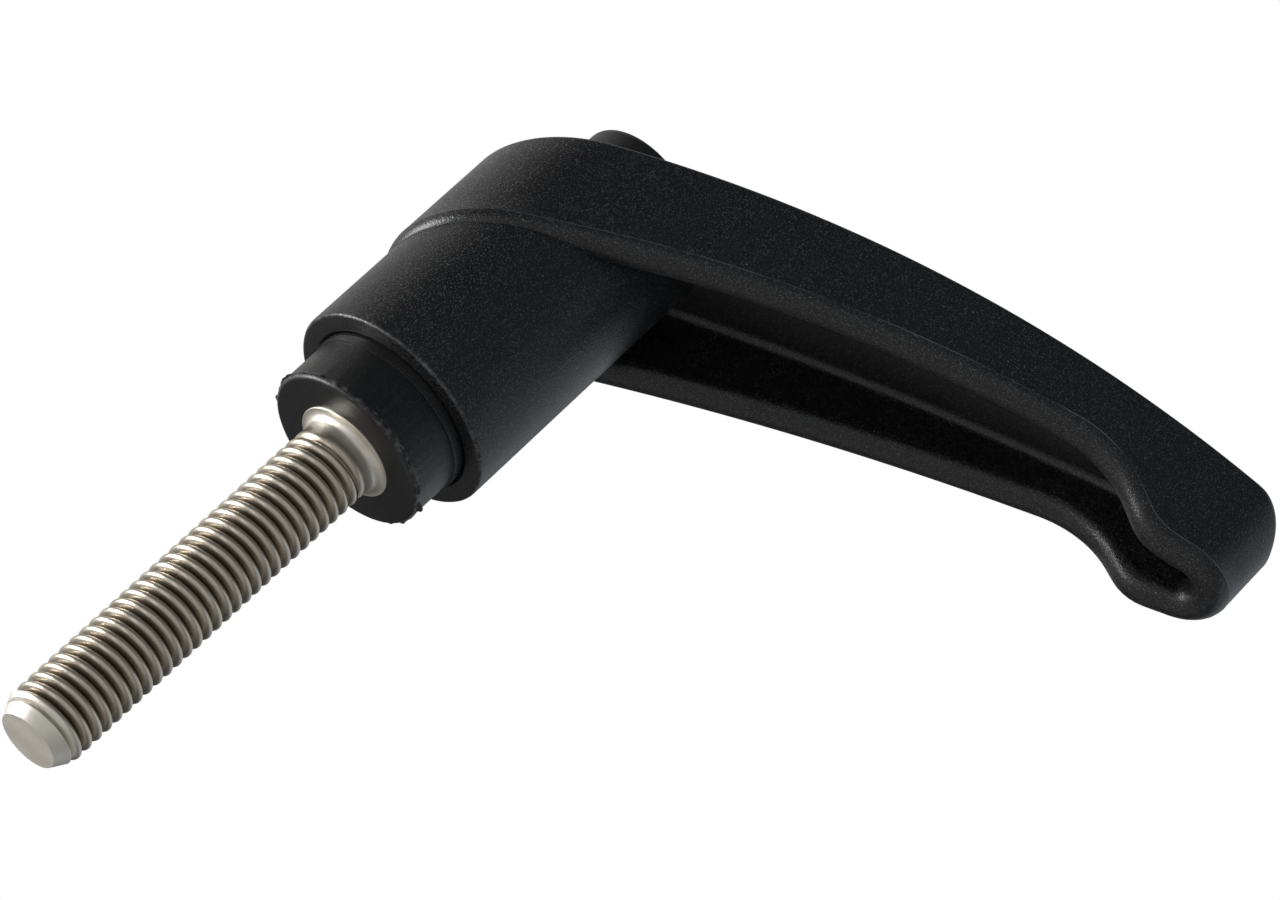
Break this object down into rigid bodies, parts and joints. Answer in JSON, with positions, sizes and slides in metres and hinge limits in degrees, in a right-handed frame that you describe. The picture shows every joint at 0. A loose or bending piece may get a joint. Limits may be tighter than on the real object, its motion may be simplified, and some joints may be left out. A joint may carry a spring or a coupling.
{
  "type": "adjustable clamping lever",
  "caption": "Adjustable clamping lever: hollow moulded arm and hub that lift off a toothed sleeve and turn freely on a threaded stud, with a sprung button on top.",
  "frame": {"origin": "centre of the stud's seat face, where the steel collar meets the clamped part", "axes": "+Z along the clamping axis from the stud's tip towards the button, +X along the arm, the stud below the origin"},
  "size_m": [0.0775, 0.022, 0.0909],
  "materials": {
    "lever_plastic": "fine spark-eroded matte grain, glass-filled polyamide",
    "sleeve_plastic": "smooth matte moulding",
    "button_plastic": "smooth matte moulding",
    "stainless_steel": "turned and rolled stainless steel",
    "screw_steel": "turned stainless steel",
    "spring_steel": "drawn stainless spring wire"
  },
  "bodies": {
    "insert": {"threaded_stud": "stainless_steel", "toothed_sleeve": "sleeve_plastic", "retaining_screw": "screw_steel", "push_button": "button_plastic"},
    "spring": {"return_spring": "spring_steel"},
    "lever": {"lever_body": "lever_plastic"}
  },
  "joints": [
    {"name": "index", "type": "hinge", "parent": "insert", "child": "spring", "pos_m": [0, 0, 0], "axis": [0, 0, 1], "continuous": true},
    {"name": "lift", "type": "slide", "parent": "spring", "child": "lever", "axis": [0, 0, 1], "range_m": [0, 0.0045], "stiffness_N_per_m": 1500, "springref_m": -0.004, "deforming": ["return_spring"]}
  ]
}
